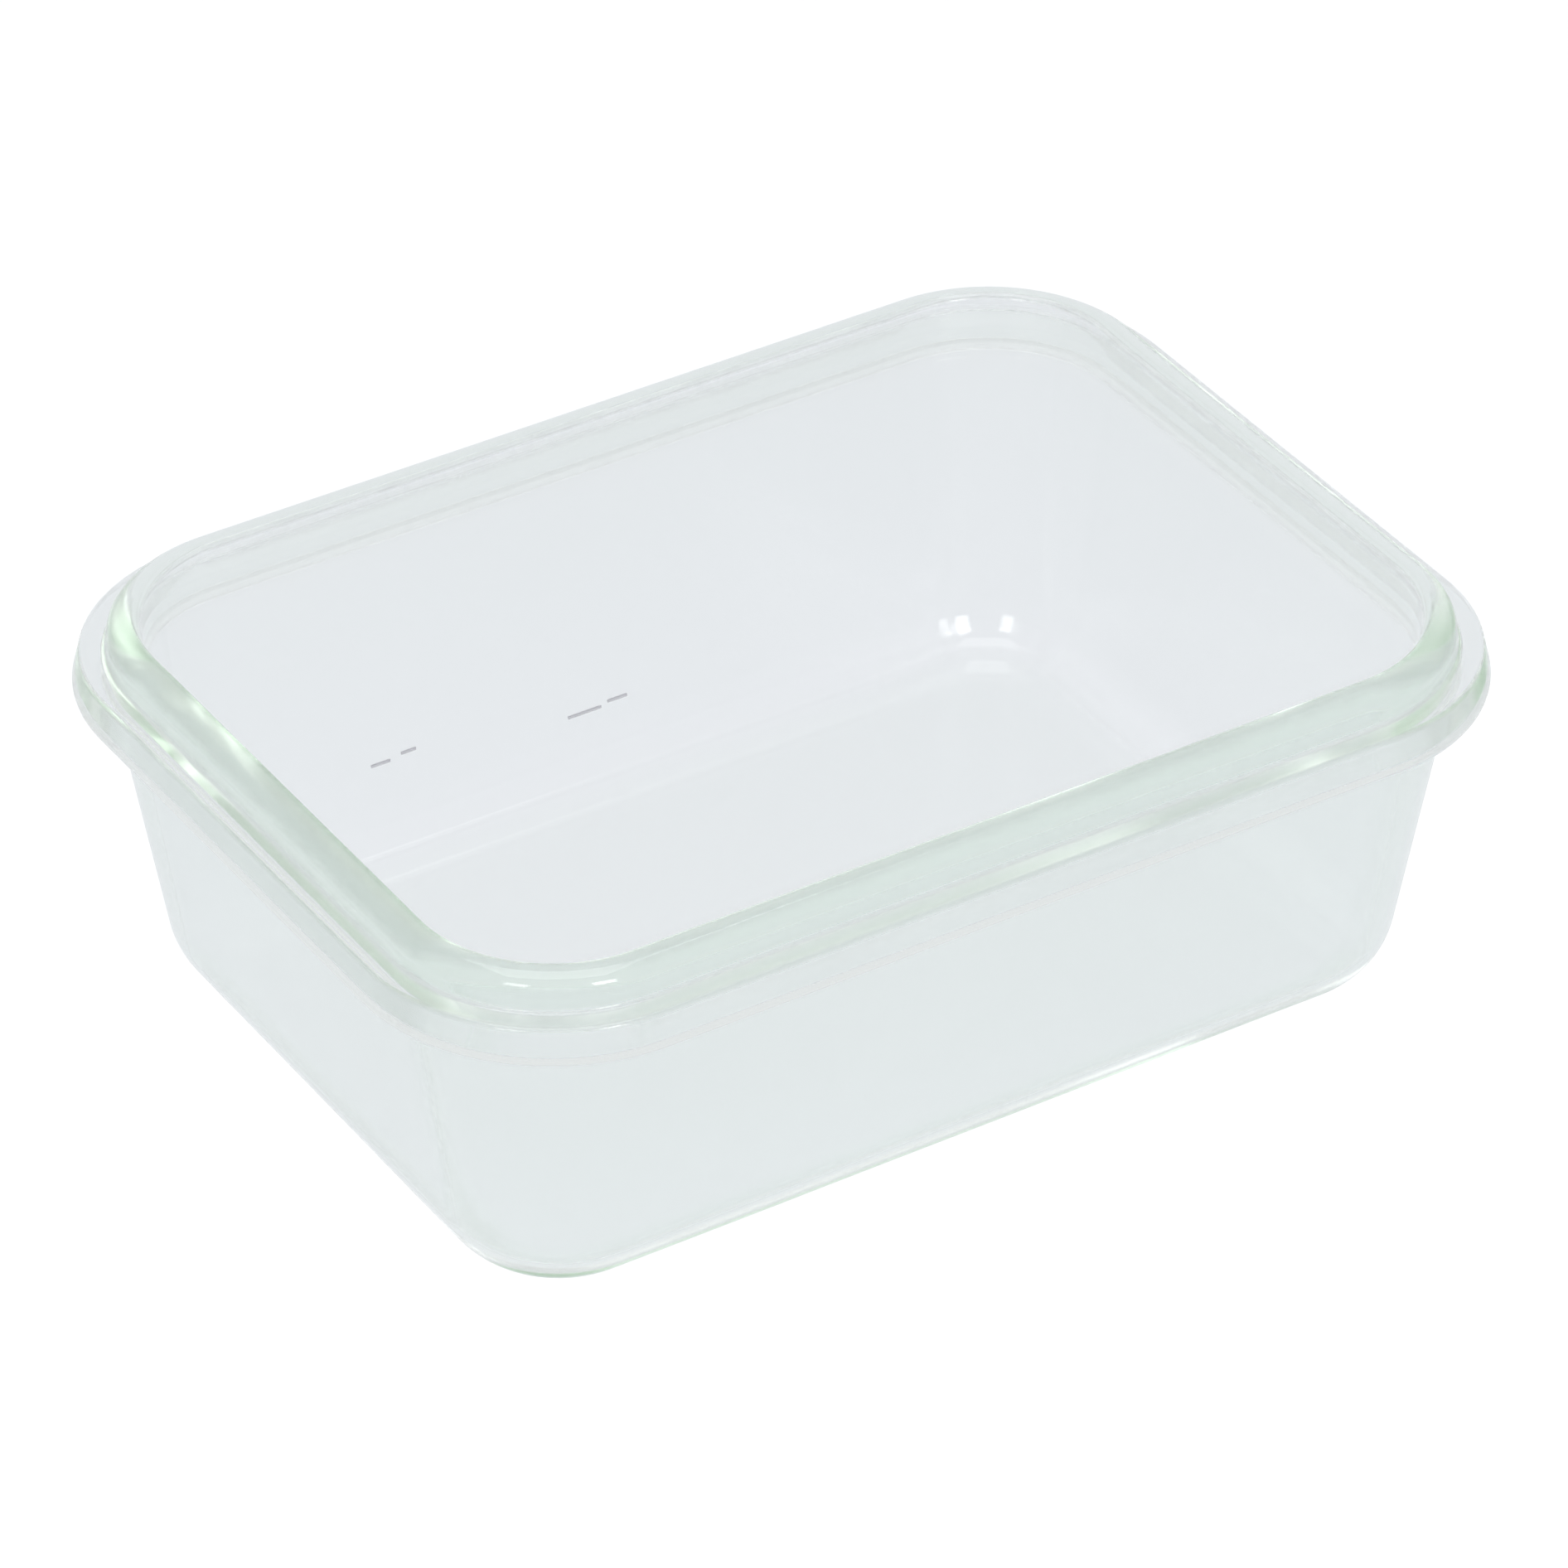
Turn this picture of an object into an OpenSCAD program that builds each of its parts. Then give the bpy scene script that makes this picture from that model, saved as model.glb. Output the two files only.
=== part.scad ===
// Rectangular glass lunch-box dish: one thick pressed-glass piece with drafted walls,
// a step flange that a clip-on cover would grip, and a raised sealing bead above it.
// Origin: centre of the flat base, on the table. +X along the long side, +Y along the short side, +Z up.

/* [Outline] */

// overall length over the flange, mm
body_l = 190; // [160:1:230]
// overall width over the flange, mm
body_w = 142; // [115:1:170]
// overall height, base to top of the bead, mm
body_h = 66; // [50:1:80]
// plan radius of the flange corners, mm
corner_r = 32; // [30:1:42]

/* [Rim] */

// thickness of the flange, top face to underside, mm
flange_t = 6.5; // [4:0.5:8]
// how far the bead stands above the flange, mm
bead_h = 5.5; // [4:0.5:7]
// width of the flat step outside the bead, mm
step_w = 5; // [4.4:0.2:5.6]
// radius of the bead's outer shoulder, mm
bead_ro = 3.6; // [2.8:0.2:3.8]
// radius of the bead's inner edge, mm
bead_ri = 1.4; // [0.8:0.2:1.8]
// how far the flange face leans in from its lower edge to its top, mm
flange_lean = 1.2; // [0.4:0.2:1.6]

/* [Walls] */

// distance the flange overhangs the wall under it, mm
overhang = 5.6; // [5:0.2:6.6]
// draft of the outside wall, degrees
draft_out = 9.5; // [7:0.5:11]
// draft of the inside wall, degrees
draft_in = 6.7; // [5.5:0.1:8]
// radius between the outside wall and the base, mm
fillet_out = 14; // [8:0.5:15]
// radius between the inside wall and the floor, mm
fillet_in = 5; // [4:0.5:8]

/* [Base] */

// height of the inside floor above the table, mm
floor_h = 5.5; // [4.5:0.5:7]
// how far the plain moulded dashes stand off the wall, mm
dash_h = 0.25; // [0.2:0.05:0.5]
// thickness of the dashes up the wall, mm
dash_t = 0.45; // [0.4:0.05:0.8]

/* [Hidden] */
$fn = 96;

lap = 1;               // overlap between joined shapes, and overrun of cuts
min_wall = 3;          // least wall used to set the inside draft
min_base_x = 2;        // least reach of the flat base beyond the corner centre
bead_lean = 6;         // lean of the bead's outer face, degrees
crest_w = 0.2;         // flat crest between the bead's two rounds
flange_low_r = 1.5;    // lower edge of the flange
flange_top_r = 0.9;    // upper edge of the flange
under_r = 2;           // concave radius under the flange
bead_foot_r = 0.8;     // concave radius at the foot of the bead

// corner centres in plan, and flange levels
corner_x = body_l/2 - corner_r;
corner_y = body_w/2 - corner_r;
flange_top = body_h - bead_h;
flange_under = flange_top - flange_t;

// The wall section is drawn in [x, z], with x measured outward from the corner centre.
// point on a circle
function on_circle(centre, radius, angle) = centre + radius*[cos(angle), sin(angle)];
// x at level z on a line through point that leans inward as it rises
function lean_x(point, z, angle) = point[0] - (z - point[1])*tan(angle);

// outside wall: a line leaning out from the base to the flange
wall_top = [corner_r - overhang, flange_under];
function wall_x(z) = lean_x(wall_top, z, -draft_out);
// the base radius gives way on a tall dish with tight corners
base_r = min(fillet_out, (wall_x(0) - min_base_x)*cos(draft_out)/(1 - sin(draft_out)));
base_centre = [wall_x(base_r) - base_r/cos(draft_out), base_r];

// bead: a leaning outer face, a wide round shoulder, a narrow crest and a small inner round
bead_foot = [corner_r - step_w, flange_top];
shoulder_z = body_h - bead_ro;
shoulder_end_z = shoulder_z + bead_ro*sin(bead_lean);
shoulder_end = [lean_x(bead_foot, shoulder_end_z, bead_lean), shoulder_end_z];
shoulder_centre = [shoulder_end[0] - bead_ro*cos(bead_lean), shoulder_z];
inner_centre = [shoulder_centre[0] - crest_w, body_h - bead_ri];

// inside wall: a line from the bead to the floor; its draft grows to keep the wall thick enough
floor_fillet_z = floor_h + fillet_in;
inner_draft = max(draft_in, atan((inner_centre[0] - bead_ri - wall_x(floor_fillet_z) + min_wall)
                                 /(inner_centre[1] - floor_fillet_z)));
inner_top = on_circle(inner_centre, bead_ri, 180 - inner_draft);
floor_x = lean_x(inner_top, floor_fillet_z, -inner_draft) - fillet_in/cos(inner_draft);
floor_centre = [floor_x, floor_fillet_z];

// flange face: a line leaning in as it rises
face_lean = atan(flange_lean/(flange_t - flange_low_r));
low_centre = [corner_r - flange_low_r, flange_under + flange_low_r];
face_low = on_circle(low_centre, flange_low_r, face_lean);
top_z = flange_top - flange_top_r;
top_centre = [lean_x(face_low, top_z, face_lean) - flange_top_r/cos(face_lean), top_z];

// centres of the concave radii
under_z = flange_under - under_r;
under_centre = [wall_x(under_z) + under_r/cos(draft_out), under_z];
foot_z = flange_top + bead_foot_r;
foot_centre = [lean_x(bead_foot, foot_z, bead_lean) + bead_foot_r/cos(bead_lean), foot_z];

// raised dashes: [x of middle, z, length]
dashes = [[-37, 17.5, 3.4], [-32, 18, 2.6], [-0.5, 14, 6], [5.5, 14.5, 3.5]];

module disc(centre, radius) translate(centre) circle(r = radius);

// patch filling a corner, hollowed by a circle
module concave_fillet(centre, radius, points) {
  difference() {
    polygon(points);
    disc(centre, radius);
  }
}

module outer_wall() {
  polygon([[0, 0], [base_centre[0], 0], on_circle(base_centre, base_r, -draft_out),
           wall_top, wall_top + [0, lap], [0, flange_under + lap]]);
  disc(base_centre, base_r);
}

module flange() {
  polygon([[floor_x, flange_under], [low_centre[0], flange_under], face_low,
           on_circle(top_centre, flange_top_r, face_lean),
           [top_centre[0], flange_top], [floor_x, flange_top]]);
  disc(low_centre, flange_low_r);
  disc(top_centre, flange_top_r);
  wall_end = on_circle(under_centre, under_r, 180 - draft_out);
  concave_fillet(under_centre, under_r,
    [[wall_end[0] - lap, flange_under + lap], [under_centre[0], flange_under + lap],
     under_centre, wall_end, wall_end - [lap, 0]]);
}

module bead() {
  polygon([[floor_x, flange_top - lap], bead_foot - [0, lap], bead_foot,
           shoulder_end, [shoulder_centre[0], body_h], [floor_x, body_h]]);
  disc(shoulder_centre, bead_ro);
  face_end = on_circle(foot_centre, bead_foot_r, 180 + bead_lean);
  concave_fillet(foot_centre, bead_foot_r,
    [face_end - [lap, 0], face_end, foot_centre,
     [foot_centre[0], flange_top - lap], [face_end[0] - lap, flange_top - lap]]);
}

module food_space() {
  polygon([[-lap, floor_h], [floor_x, floor_h],
           on_circle(floor_centre, fillet_in, -inner_draft), inner_top,
           [inner_centre[0], body_h], [inner_centre[0], body_h + lap], [-lap, body_h + lap]]);
  disc(floor_centre, fillet_in);
}

module body_section() {
  intersection() {
    square([body_l, body_h]);
    union() {
      difference() {
        union() {
          outer_wall();
          flange();
          bead();
        }
        food_space();
      }
      disc(inner_centre, bead_ri);
    }
  }
}

// the section turned round each corner and run along each side, with a floor between
module dish_body() {
  for (k = [0:3])
    translate([(k == 0 || k == 3) ? corner_x : -corner_x, (k < 2) ? corner_y : -corner_y, 0])
      rotate([0, 0, 90*k]) rotate_extrude(angle = 90) body_section();
  for (turn = [0, 180]) rotate([0, 0, turn]) {
    // long side
    translate([-corner_x, corner_y, 0])
      rotate([90, 0, 90]) linear_extrude(height = 2*corner_x) body_section();
    // short side
    translate([corner_x, corner_y, 0])
      rotate([90, 0, 0]) linear_extrude(height = 2*corner_y) body_section();
  }
  translate([-corner_x, -corner_y, 0]) cube([2*corner_x, 2*corner_y, floor_h]);
}

// plain dash low on the outside of the +Y wall
module wall_dash(x, z, length) {
  translate([x, corner_y + wall_x(z), z]) rotate([-draft_out, 0, 0])
    translate([-length/2, -lap, -dash_t/2]) cube([length, lap + dash_h, dash_t]);
}

module dish() color([0.80, 0.90, 0.86, 0.45]) union() {
  dish_body();
  for (dash = dashes) wall_dash(dash[0], dash[1], dash[2]);
}

dish();
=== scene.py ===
"""A clear pressed-glass dish: a rounded rectangle with a beaded rim over a flange.

It stands on z = 0, centred on the origin, long sides along X. The camera looks down on it
from the -X, -Y side, so the far long wall is the one at +Y.
"""
import bpy
import bmesh
import math
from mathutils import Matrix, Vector, noise


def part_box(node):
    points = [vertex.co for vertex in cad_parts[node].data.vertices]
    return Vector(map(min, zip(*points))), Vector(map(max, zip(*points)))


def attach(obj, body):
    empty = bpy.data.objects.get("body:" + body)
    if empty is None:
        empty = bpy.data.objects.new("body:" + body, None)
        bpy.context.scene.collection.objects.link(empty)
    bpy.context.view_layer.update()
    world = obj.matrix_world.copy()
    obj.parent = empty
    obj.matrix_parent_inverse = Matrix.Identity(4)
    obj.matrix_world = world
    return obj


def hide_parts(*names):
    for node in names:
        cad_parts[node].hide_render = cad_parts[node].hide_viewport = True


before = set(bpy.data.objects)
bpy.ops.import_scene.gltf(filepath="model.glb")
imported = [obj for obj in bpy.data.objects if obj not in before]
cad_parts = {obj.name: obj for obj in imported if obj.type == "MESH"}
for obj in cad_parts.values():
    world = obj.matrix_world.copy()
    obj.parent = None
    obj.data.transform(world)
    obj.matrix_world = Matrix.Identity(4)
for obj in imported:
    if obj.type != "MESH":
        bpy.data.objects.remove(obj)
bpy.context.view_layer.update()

# ---------------------------------------------------------------- sizes, in mm; angles in degrees
MM = 0.001
box_low, box_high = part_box("dish")
LENGTH, WIDTH, HEIGHT = [(high - low) / MM for low, high in zip(box_low, box_high)]
K = LENGTH / 190.0              # the sizes below are for a dish 190 long

CORNER_R = 32.0 * K             # flange corner, seen from above
CORNER_X = LENGTH / 2 - CORNER_R
CORNER_Y = WIDTH / 2 - CORNER_R

BEAD_H = 5.5 * K
BEAD_OUT_R = 3.6 * K
BEAD_IN_R = 1.4 * K
BEAD_FLAT = 0.2 * K             # flat between the bead's two rounds
BEAD_LEAN = 6.0
STEP_W = 5.0 * K                # flange top showing outside the bead
STEP_R = 0.8 * K                # fillet where bead meets flange

FLANGE_T = 6.5 * K
FLANGE_OVERHANG = 5.6 * K
FLANGE_LEAN = 1.2 * K           # how far the outer face leans in towards its top
FLANGE_TOP_R = 0.9 * K
FLANGE_LOW_R = 1.5 * K
UNDER_R = 2.0 * K               # fillet between flange and outer wall
FLANGE_TOP = HEIGHT - BEAD_H
FLANGE_UNDER = FLANGE_TOP - FLANGE_T

DRAFT_OUT = 9.5                 # outer and inner wall, from upright
DRAFT_IN = 6.7
FOOT_R = 14.0 * K
FLOOR_T = 5.5 * K
FLOOR_R = 5.0 * K               # fillet between floor and inner wall

FLAT_EDGE = 1.5 * K             # where the section starts and ends, out from the corner centres
SECTION_STEP = 2.6 * K          # spacing of points on the section's straights
SIDE_STEP = 4.2 * K             # spacing of stations on the four sides
CORNER_SEGMENTS = 32
FLAT_RINGS = (0.86, 0.7, 0.52, 0.34, 0.16)  # rings closing each flat, as parts of its edge

DASH_RAISED = 0.25 * K
DASH_BURIED = 1.0 * K
DASH_T = 0.45 * K
# middle x, height z, length
DASHES = [(x * K, z * K, length * K) for x, z, length in (
    (-37, 17.5, 3.4), (-32, 18, 2.6), (-0.5, 14, 6), (5.5, 14.5, 3.5))]


# ---------------------------------------------------------------- dish section and outline
def slope(degrees):
    """Tangent, cosine and sine of a lean."""
    angle = math.radians(degrees)
    return math.tan(angle), math.cos(angle), math.sin(angle)


def outer_wall(z):
    """How far out from the corner centres the outer wall is at height z."""
    return CORNER_R - FLANGE_OVERHANG - (FLANGE_UNDER - z) * slope(DRAFT_OUT)[0]


def arc(centre_u, centre_z, radius, start, end, count):
    angles = [math.radians(start + (end - start) * i / count) for i in range(count + 1)]
    return [(centre_u + radius * math.cos(a), centre_z + radius * math.sin(a)) for a in angles]


def between(start, end):
    """Evenly spaced points between two ends, leaving the ends out."""
    count = max(1, int(math.hypot(end[0] - start[0], end[1] - start[1]) / SECTION_STEP))
    return [(start[0] + (end[0] - start[0]) * i / count,
             start[1] + (end[1] - start[1]) * i / count) for i in range(1, count)]


def section():
    """Open run of (u, z), from the floor up over the rim and down to the underside.

    u is measured outward from the corner centres.
    """
    cos_out = slope(DRAFT_OUT)[1]
    tan_in, cos_in, sin_in = slope(DRAFT_IN)
    tan_bead, cos_bead, sin_bead = slope(BEAD_LEAN)

    # bead: the centres of its two rounds, and where the inner one meets the wall
    bead_out_z = HEIGHT - BEAD_OUT_R
    bead_side_h = bead_out_z + BEAD_OUT_R * sin_bead - FLANGE_TOP
    bead_out_u = CORNER_R - STEP_W - bead_side_h * tan_bead - BEAD_OUT_R * cos_bead
    bead_in_z = HEIGHT - BEAD_IN_R
    bead_in_u = bead_out_u - BEAD_FLAT
    wall_top_u = bead_in_u - BEAD_IN_R * cos_in
    wall_top_z = bead_in_z + BEAD_IN_R * sin_in
    step_u = CORNER_R - STEP_W - STEP_R * tan_bead + STEP_R / cos_bead

    # floor fillet, foot and flange fillet, each tangent to its wall
    floor_z = FLOOR_T + FLOOR_R
    floor_u = wall_top_u - (wall_top_z - floor_z) * tan_in - FLOOR_R / cos_in
    foot_u = outer_wall(FOOT_R) - FOOT_R / cos_out
    under_z = FLANGE_UNDER - UNDER_R
    under_u = outer_wall(under_z) + UNDER_R / cos_out

    # flange: its leaning face is tangent to the lower round and the top round
    face_lean = math.degrees(math.atan(FLANGE_LEAN / (FLANGE_T - FLANGE_LOW_R)))
    tan_face, cos_face, sin_face = slope(face_lean)
    low_u = CORNER_R - FLANGE_LOW_R
    low_z = FLANGE_UNDER + FLANGE_LOW_R
    top_z = FLANGE_TOP - FLANGE_TOP_R
    face_u = (low_u + FLANGE_LOW_R * cos_face + FLANGE_LOW_R * sin_face * tan_face
              - (top_z - low_z) * tan_face)
    top_u = face_u - FLANGE_TOP_R / cos_face

    runs = [
        arc(floor_u, floor_z, FLOOR_R, -90, -DRAFT_IN, 18),
        arc(bead_in_u, bead_in_z, BEAD_IN_R, 180 - DRAFT_IN, 90, 14),
        arc(bead_out_u, bead_out_z, BEAD_OUT_R, 90, BEAD_LEAN, 20),
        arc(step_u, FLANGE_TOP + STEP_R, STEP_R, 180 + BEAD_LEAN, 270, 6),
        arc(top_u, top_z, FLANGE_TOP_R, 90, face_lean, 7),
        arc(low_u, low_z, FLANGE_LOW_R, face_lean, -90, 12),
        arc(under_u, under_z, UNDER_R, 90, 180 - DRAFT_OUT, 8),
        arc(foot_u, FOOT_R, FOOT_R, -DRAFT_OUT, -90, 22),
        [(FLAT_EDGE, 0.0)],
    ]
    points = [(FLAT_EDGE, FLOOR_T)]
    for run in runs:
        points += between(points[-1], run[0]) + run
    return points


def outline():
    """Stations round the rounded rectangle: corner centre line x, y and outward direction x, y."""
    corners = [(CORNER_X, CORNER_Y), (-CORNER_X, CORNER_Y),
               (-CORNER_X, -CORNER_Y), (CORNER_X, -CORNER_Y)]
    stations = []
    for k, (x, y) in enumerate(corners):
        for i in range(CORNER_SEGMENTS + 1):
            angle = math.radians(90 * k + 90 * i / CORNER_SEGMENTS)
            stations.append((x, y, math.cos(angle), math.sin(angle)))
        next_x, next_y = corners[(k + 1) % 4]
        angle = math.radians(90 * (k + 1))
        count = int(math.hypot(next_x - x, next_y - y) / SIDE_STEP)
        for i in range(1, count):
            stations.append((x + (next_x - x) * i / count, y + (next_y - y) * i / count,
                             math.cos(angle), math.sin(angle)))
    return stations


# ---------------------------------------------------------------- dish mesh
def mesh_from(bm, name):
    mesh = bpy.data.meshes.new(name)
    bm.to_mesh(mesh)
    bm.free()
    return mesh


def link_object(name, data):
    new = bpy.data.objects.new(name, data)
    bpy.context.scene.collection.objects.link(new)
    return new


def dish_mesh():
    """The section swept round the outline, its two flats closed with shrinking rings."""
    stations = outline()
    bm = bmesh.new()
    rings = [[bm.verts.new(((x + out_x * u) * MM, (y + out_y * u) * MM, z * MM))
              for x, y, out_x, out_y in stations] for u, z in section()]
    count = len(stations)

    def skin(a, b):
        for i in range(count):
            j = (i + 1) % count
            bm.faces.new((a[i], a[j], b[j], b[i]))

    for a, b in zip(rings, rings[1:]):
        skin(a, b)
    for edge, is_floor in ((rings[0], True), (rings[-1], False)):
        last = edge
        for part in FLAT_RINGS:
            ring = [bm.verts.new((v.co.x * part, v.co.y * part, v.co.z)) for v in edge]
            if is_floor:
                skin(ring, last)
            else:
                skin(last, ring)
            last = ring
        bm.faces.new(last if is_floor else last[::-1])
    bmesh.ops.recalc_face_normals(bm, faces=bm.faces)
    return mesh_from(bm, "dish_glass")


def swell(mesh):
    """Slow swells left by the press, under 0.04 mm along each normal.

    They fade out at the foot, the outermost edge and the top, and leave the flats alone.
    """
    # size in mm, waves per mm, offset into the noise
    waves = ((0.030, 0.045, Vector((3.1, 7.7, 1.3))),
             (0.008, 0.13, Vector((9.4, 2.2, 5.6))))
    foot_start = 0.05   # height where the swells begin; they are full 1 mm above it
    edge_fade = 2.0

    def clamp(value):
        return min(1.0, max(0.0, value))

    mesh.update()
    normals = [Vector(v.normal) for v in mesh.vertices]
    for v, normal in zip(mesh.vertices, normals):
        p = v.co / MM
        if abs(normal.z) > 0.97 and p.z < FLOOR_T + 1.0:
            continue
        height = sum(size * noise.noise(p * rate + offset) for size, rate, offset in waves)
        to_edge = min(LENGTH / 2 - abs(p.x), WIDTH / 2 - abs(p.y), HEIGHT - p.z)
        v.co += normal * (height * clamp(p.z - foot_start) * clamp(to_edge / edge_fade) * MM)


def dash_mesh():
    """Plain bars low on the outside of the far long wall, tilted with its draft."""
    _, cos_out, sin_out = slope(DRAFT_OUT)
    bm = bmesh.new()
    for dash_x, dash_z, length in DASHES:
        for v in bmesh.ops.create_cube(bm, size=1.0)["verts"]:
            x = v.co.x * length
            y = (v.co.y + 0.5) * (DASH_BURIED + DASH_RAISED) - DASH_BURIED
            z = v.co.z * DASH_T
            v.co = Vector((
                (dash_x + x) * MM,
                (CORNER_Y + outer_wall(dash_z) + y * cos_out + z * sin_out) * MM,
                (dash_z - y * sin_out + z * cos_out) * MM))
    return mesh_from(bm, "dashes")


def fuse(body, part):
    """Join part into body's mesh and delete part."""
    bpy.context.view_layer.update()
    union = body.modifiers.new("fuse", "BOOLEAN")
    union.operation = "UNION"
    union.solver = "EXACT"
    union.object = part
    depsgraph = bpy.context.evaluated_depsgraph_get()
    fused = bpy.data.meshes.new_from_object(body.evaluated_get(depsgraph))
    body.modifiers.clear()
    body.data = fused
    bpy.data.objects.remove(part)


def on_dash(face):
    """Whether a face is one of the small raised ones of a dash."""
    x, y, z = face.center / MM
    near = any(abs(x - dash_x) < length / 2 + 0.1 * K and abs(z - dash_z) < 0.6 * K
               for dash_x, dash_z, length in DASHES)
    largest = 4e-6  # square metres
    return near and y > CORNER_Y + outer_wall(z) + 0.06 * K and face.area < largest


def build_dish():
    mesh = dish_mesh()
    swell(mesh)
    dish = link_object("dish_glass", mesh)
    fuse(dish, link_object("dashes", dash_mesh()))
    mesh = dish.data
    for face in mesh.polygons:
        face.use_smooth = True
    mesh.set_sharp_from_angle(angle=math.radians(40))
    # marks the dashes for their duller finish
    etch = mesh.attributes.new("etch", "FLOAT", "FACE")
    for face in mesh.polygons:
        etch.data[face.index].value = 1.0 if on_dash(face) else 0.0
    mesh.update()
    return dish


dish = build_dish()
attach(dish, "root")
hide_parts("dish")


# ---------------------------------------------------------------- materials
class Shader:
    """Short ways to add nodes; an input given as a socket is linked, any other is set."""

    def __init__(self, owner, clear=True):
        owner.use_nodes = True
        self.tree = owner.node_tree
        if clear:
            self.tree.nodes.clear()

    def fill(self, node, inputs):
        for key, value in inputs.items():
            if isinstance(value, bpy.types.NodeSocket):
                self.tree.links.new(value, node.inputs[key])
            else:
                node.inputs[key].default_value = value

    def add(self, kind, inputs=None, **settings):
        """A node's outputs, by name."""
        node = self.tree.nodes.new("ShaderNode" + kind)
        for name, value in settings.items():
            setattr(node, name, value)
        self.fill(node, inputs or {})
        return node.outputs

    def math(self, operation, *values):
        return self.add("Math", dict(enumerate(values)), operation=operation)["Value"]

    def times(self, a, b):
        return self.math("MULTIPLY", a, b)

    def invert(self, value):
        return self.math("SUBTRACT", 1.0, value)

    def ramp(self, value, start, end, low=0.0, high=1.0, interpolation="SMOOTHSTEP"):
        return self.add("MapRange", {
            "Value": value, "From Min": start, "From Max": end, "To Min": low, "To Max": high,
        }, interpolation_type=interpolation)["Result"]

    def mix(self, factor, a, b):
        return self.add("Mix", {"Factor": factor, "A": a, "B": b}, data_type="RGBA")["Result"]


def from_corner_centres(shader, position):
    """Distance and direction out from the corner centres' rectangle, seen from above."""
    beyond, signed = {}, {}
    for axis, half in (("X", CORNER_X * MM), ("Y", CORNER_Y * MM)):
        past = shader.math("SUBTRACT", shader.math("ABSOLUTE", position[axis]), half)
        beyond[axis] = shader.math("MAXIMUM", past, 0.0)
        signed[axis] = shader.times(shader.math("SIGN", position[axis]), beyond[axis])
    distance = shader.add("VectorMath", {0: shader.add("CombineXYZ", beyond)["Vector"]},
                          operation="LENGTH")["Value"]
    outward = shader.add("VectorMath", {0: shader.add("CombineXYZ", signed)["Vector"]},
                         operation="NORMALIZE")["Vector"]
    return distance, outward


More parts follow.
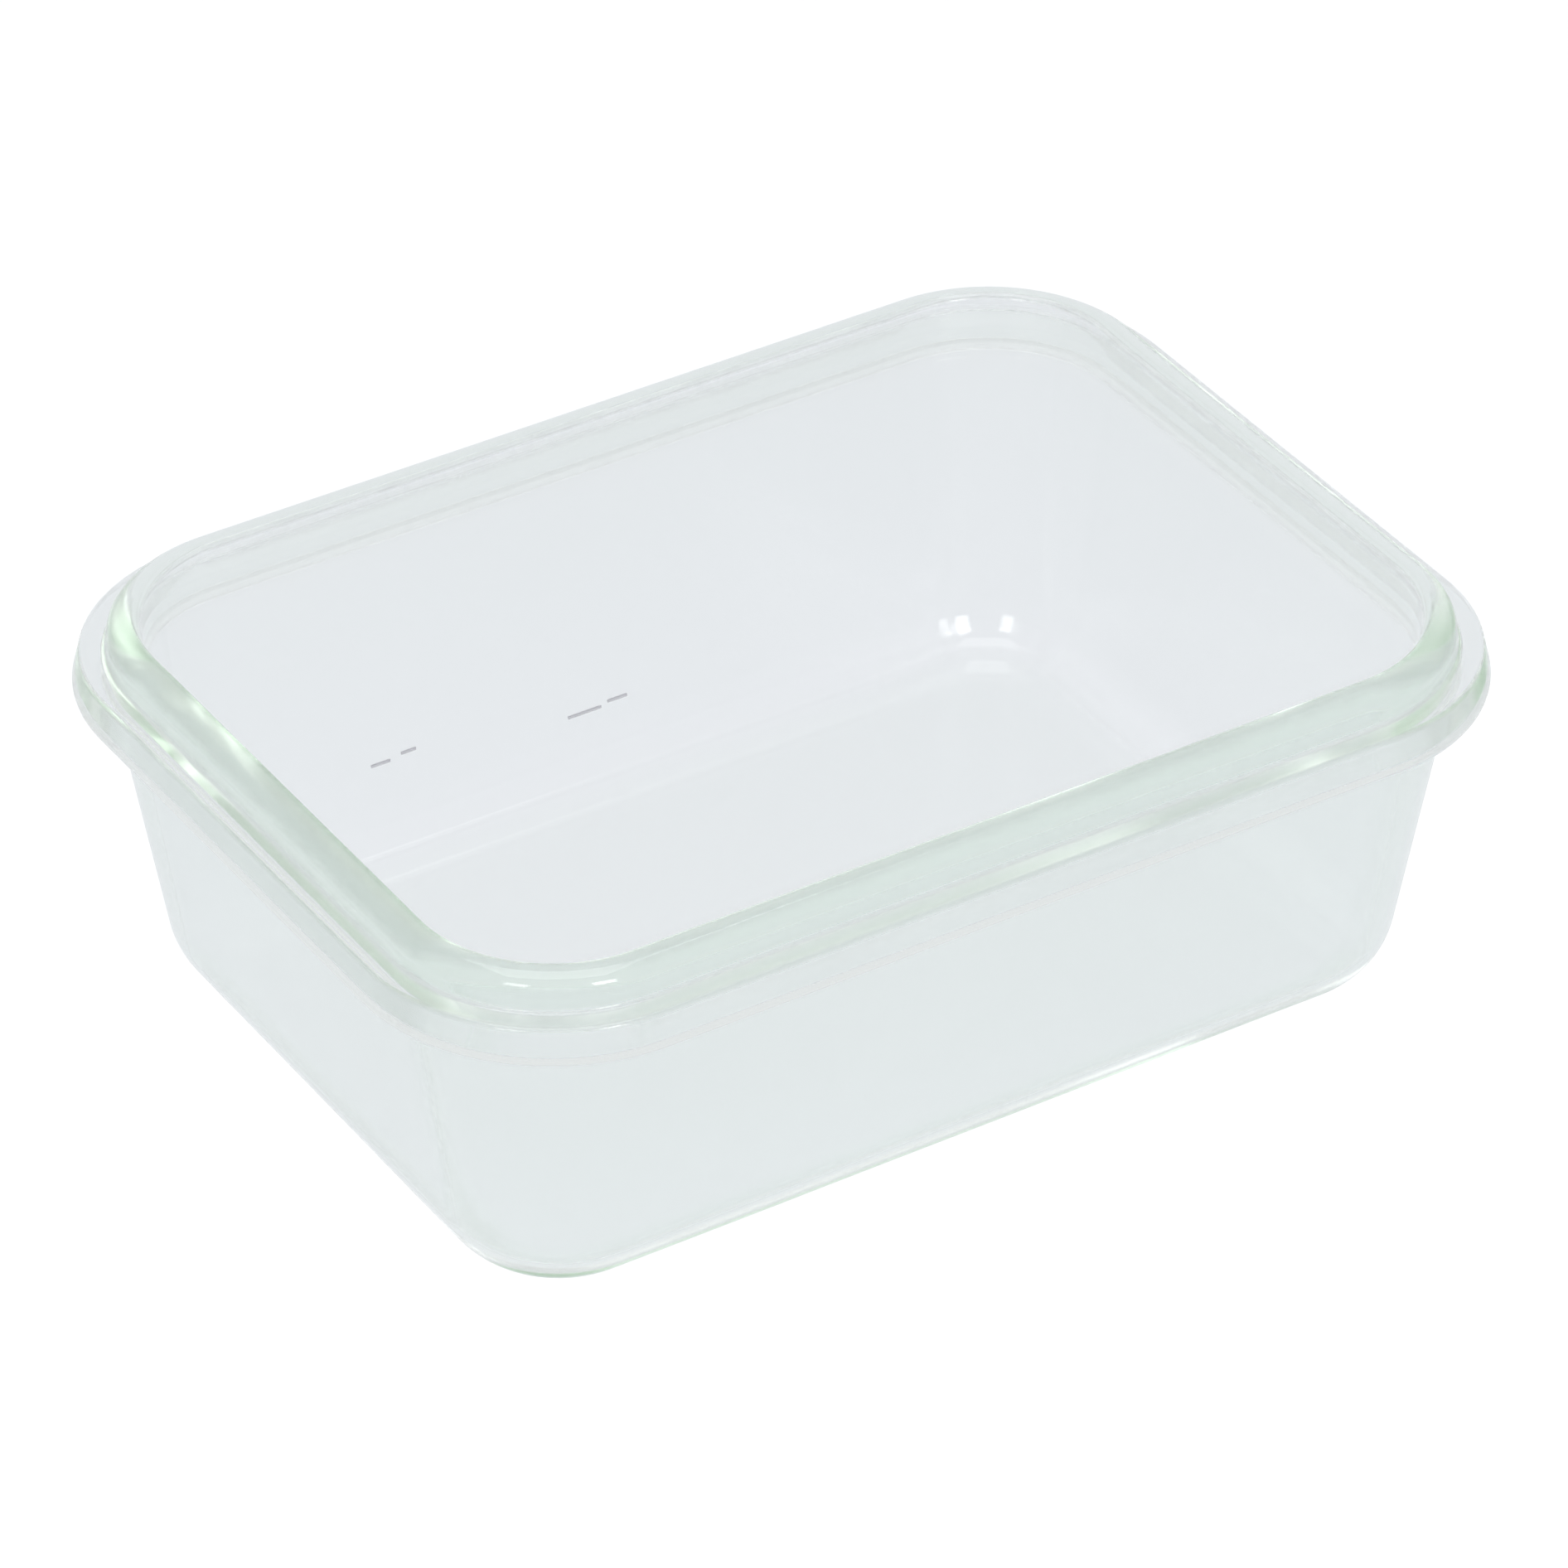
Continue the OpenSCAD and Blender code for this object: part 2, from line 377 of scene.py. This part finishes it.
def glass_material():
    clear_tint = (0.985, 0.99, 0.995, 1)
    etched_tint = (0.42, 0.40, 0.44, 1)
    wall_tint = (0.945, 0.993, 0.950, 1)
    foot_tint = (0.78, 0.89, 0.81, 1)
    bead_tint = (0.78, 0.885, 0.80, 1)
    etched_roughness = 0.45     # added to the glass's own
    far_rim_straight = 0.70     # share of light going straight on through a far rim

    material = bpy.data.materials.new("clear_glass")
    shader = Shader(material)
    coords = shader.add("TexCoord")["Object"]
    etch = shader.add("Attribute", attribute_name="etch")["Fac"]

    # fire-polished, with faint duller drifts where the mould chilled it
    drifts = shader.add("TexNoise", {
        "Vector": coords, "Scale": 38.0, "Detail": 3.0, "Roughness": 0.5})["Fac"]
    polish = shader.ramp(drifts, 0.35, 0.75, low=0.09, high=0.14, interpolation="LINEAR")
    roughness = shader.math("MULTIPLY_ADD", etch, etched_roughness, polish)

    # faint mould chill ripple
    squeezed = shader.add("Mapping", {"Vector": coords, "Scale": (1.0, 1.0, 2.2)})["Vector"]
    ripple = shader.add("TexNoise", {
        "Vector": squeezed, "Scale": 90.0, "Detail": 2.0, "Roughness": 0.45})["Fac"]
    bump = shader.add("Bump", {"Height": ripple, "Strength": 0.03, "Distance": 0.0004})

    # outer sides that face the ray, which then runs down into the wall
    position = shader.add("SeparateXYZ", {"Vector": coords})
    height = position["Z"]
    distance, outward = from_corner_centres(shader, position)
    geometry = shader.add("NewGeometry")
    facing = shader.add("VectorMath", {0: outward, 1: geometry["Incoming"]},
                        operation="DOT_PRODUCT")["Value"]
    toward = shader.ramp(facing, -0.25, 0.20)
    near_side = shader.times(toward, shader.invert(geometry["Backfacing"]))

    # the bead's outer side gathers the edge colour of the wall under it
    bead_zone = shader.times(
        shader.ramp(distance, (CORNER_R - 10.6 * K) * MM, (CORNER_R - 9.2 * K) * MM),
        shader.ramp(height, (FLANGE_TOP + 0.1 * K) * MM, (FLANGE_TOP + 0.9 * K) * MM))
    bead = shader.times(bead_zone, near_side)
    # the outer wall under the flange is tinted more faintly, its foot more strongly
    wall_zone = shader.times(
        shader.ramp(height, (FLANGE_UNDER + 1.0 * K) * MM, (FLANGE_UNDER - 6.0 * K) * MM),
        shader.ramp(distance, 6.0 * K * MM, 12.0 * K * MM))
    wall = shader.times(wall_zone, near_side)
    foot = shader.times(shader.ramp(height, 6.0 * K * MM, 3.6 * K * MM), wall)
    color = shader.mix(etch, clear_tint, etched_tint)
    for zone, tint in ((wall, wall_tint), (foot, foot_tint), (bead, bead_tint)):
        color = shader.mix(zone, color, tint)

    # most light leaving through a far rim goes straight on, so it reads as one soft pale band
    leaving = shader.times(shader.invert(toward), geometry["Backfacing"])
    rim_zone = shader.ramp(height, (FLANGE_UNDER - 4.0 * K) * MM, (FLANGE_UNDER - 1.0 * K) * MM)
    straight = shader.times(shader.times(leaving, rim_zone), far_rim_straight)

    # shadow and diffuse rays pass through as if the glass were plainly transparent
    rays = shader.add("LightPath")
    lighting = shader.math("MAXIMUM", rays["Is Shadow Ray"], rays["Is Diffuse Ray"])
    glass = shader.add("BsdfPrincipled", {
        "Base Color": color, "Roughness": roughness, "Normal": bump["Normal"],
        "IOR": 1.49, "Transmission Weight": 1.0})["BSDF"]
    passing = shader.add("BsdfTransparent", {"Color": (0.995, 0.995, 0.995, 1)})["BSDF"]
    surface = shader.add("MixShader", {
        "Fac": shader.math("MAXIMUM", lighting, straight), 1: glass, 2: passing})["Shader"]

    # green by thickness: absorbs density * (1 - colour) per metre. It eases off along a ray
    # guided round the rim many times, and skips the light that falls through to the floor.
    ease = shader.ramp(rays["Ray Depth"], 1.0, 3.0, low=8.0, high=0.0, interpolation="LINEAR")
    volume = shader.add("VolumeAbsorption", {
        "Color": (0.22, 0.60, 0.20, 1),
        "Density": shader.times(ease, shader.invert(lighting))})["Volume"]
    shader.add("OutputMaterial", {"Surface": surface, "Volume": volume})
    return material


def color_ramp(shader, value, first, last, between_stops=()):
    """Colour ramp from first at 0 to last at 1; the stops between are (position, colour)."""
    color = shader.add("ValToRGB", {"Fac": value})["Color"]
    elements = color.node.color_ramp.elements
    elements[0].color = first
    elements[1].color = last
    for place, stop_color in between_stops:
        elements.new(place).color = stop_color
    return color


def floor_material():
    material = bpy.data.materials.new("studio_floor")
    shader = Shader(material, clear=False)
    coords = shader.add("TexCoord")["Object"]
    mottle = shader.add("TexNoise", {"Vector": coords, "Scale": 2.5, "Detail": 4.0})["Fac"]
    seen = color_ramp(shader, mottle, (0.93, 0.93, 0.93, 1), (0.95, 0.95, 0.95, 1))
    # painted shade: a pale grey, darker and cooler than the floor itself, for the rays that don't
    # come straight from the camera, so the floor seen through and in the glass looks shaded
    painted_shade_floor = (0.743, 0.751, 0.778, 1)
    camera_ray = shader.add("LightPath")["Is Camera Ray"]
    shader.fill(shader.tree.nodes["Principled BSDF"], {
        "Base Color": shader.mix(camera_ray, painted_shade_floor, seen),
        "Roughness": 0.75, "Specular IOR Level": 0.15})
    return material


dish.data.materials.clear()
dish.data.materials.append(glass_material())

# ---------------------------------------------------------------- studio, in metres
scene = bpy.context.scene
CAMERA_AZIMUTH = -32.22     # from -Y, towards +X
CAMERA_ELEVATION = 35.13


def direction(azimuth, elevation):
    """Unit vector from the dish; azimuth is from -Y, towards +X."""
    turn, rise = math.radians(azimuth), math.radians(elevation)
    return Vector((math.sin(turn) * math.cos(rise), -math.cos(turn) * math.cos(rise),
                   math.sin(rise)))


def build_floor():
    bpy.ops.mesh.primitive_circle_add(vertices=96, radius=8.0, fill_type="NGON",
                                      location=(0, 0, -0.0002))
    floor = bpy.context.object
    floor.name = "studio_floor"
    floor.data.materials.append(floor_material())


def build_world():
    """A near-white sky, slightly cool towards the horizon."""
    world = bpy.data.worlds.new("studio")
    scene.world = world
    shader = Shader(world)
    coords = shader.add("TexCoord")["Generated"]
    height = shader.add("SeparateXYZ", {"Vector": coords})["Z"]
    # height, brightness
    stops = [(place, (level, level * 1.015, level * 1.03, 1))
             for place, level in ((0.10, 0.95), (0.30, 0.97), (0.60, 1.0))]
    sky = color_ramp(shader, height, (0.97, 1.0, 1.03, 1), (1.0, 1.0, 1.0, 1), stops)
    background = shader.add("Background", {"Color": sky, "Strength": 0.82})["Background"]
    shader.add("OutputWorld", {"Surface": background})


def softbox(name, azimuth, elevation, distance, size, power):
    """A square softbox aimed at the dish; azimuth is from the camera's own, to its right."""
    toward = direction(CAMERA_AZIMUTH + azimuth, elevation)
    light = bpy.data.lights.new(name, "AREA")
    light.shape = "RECTANGLE"
    light.size = light.size_y = size
    light.energy = power
    lamp = link_object(name, light)
    lamp.location = toward * distance + Vector((0, 0, 0.04))
    lamp.rotation_euler = toward.to_track_quat("Z", "Y").to_euler()


def build_camera():
    back = direction(CAMERA_AZIMUTH, CAMERA_ELEVATION)
    turn = math.radians(CAMERA_AZIMUTH)
    right = Vector((math.cos(turn), math.sin(turn), 0))
    up = right.cross(-back)
    data = bpy.data.cameras.new("camera")
    data.sensor_width = 36.0
    data.lens = 206.5756871
    data.clip_end = 50
    camera = link_object("camera", data)
    target = Vector((0, 0, 0.030 * K)) + right * (0.34 * MM * K) + up * (3.46 * MM * K)
    camera.location = target + back * (1361.06 * MM * K)
    camera.rotation_euler = back.to_track_quat("Z", "Y").to_euler()
    scene.camera = camera


build_floor()
build_world()
softbox("key_right", azimuth=29, elevation=33, distance=1.6, size=0.32, power=3.3)
softbox("key_left", azimuth=-23, elevation=33, distance=1.6, size=0.32, power=1.9)
softbox("top", azimuth=0, elevation=88, distance=2.2, size=1.6, power=12.4)
build_camera()

scene.view_settings.view_transform = "Standard"
scene.view_settings.look = "None"
# many bounces, for light guided round inside the rim
scene.cycles.max_bounces = 64
scene.cycles.transmission_bounces = 64
scene.cycles.transparent_max_bounces = 24
scene.cycles.glossy_bounces = 64
scene.cycles.diffuse_bounces = 4
scene.cycles.caustics_reflective = False
